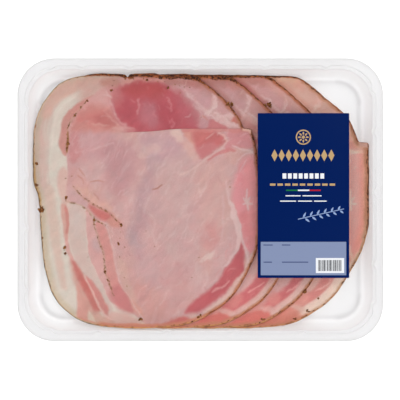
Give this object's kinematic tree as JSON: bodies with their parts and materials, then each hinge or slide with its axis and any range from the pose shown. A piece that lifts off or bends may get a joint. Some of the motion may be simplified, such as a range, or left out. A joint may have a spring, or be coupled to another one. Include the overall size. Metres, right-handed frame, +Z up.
{
  "type": "sealed tray of sliced porchetta",
  "caption": "Shallow sealed plastic tray of thin round slices of rolled roast pork, fanned side by side under a clear film lid with a card label.",
  "frame": {"origin": "middle of the tray's flat base, on the surface that it stands on", "axes": "+X along the tray's long side towards the labelled end, +Y towards the top edge of the label, +Z up from the base to the film"},
  "size_m": [0.227, 0.1756, 0.0185],
  "materials": {
    "tray": "thin glossy white formed sheet, slightly see-through",
    "meat": "moist sliced roast pork with fat, lean and a dark herb crust",
    "film": "clear glossy film",
    "label": "printed coated card with a satin varnish"
  },
  "bodies": {
    "root": {"tray": "tray", "slice_1": "meat", "slice_2": "meat", "slice_3": "meat", "slice_4": "meat", "film": "film", "label": "label"}
  },
  "joints": []
}
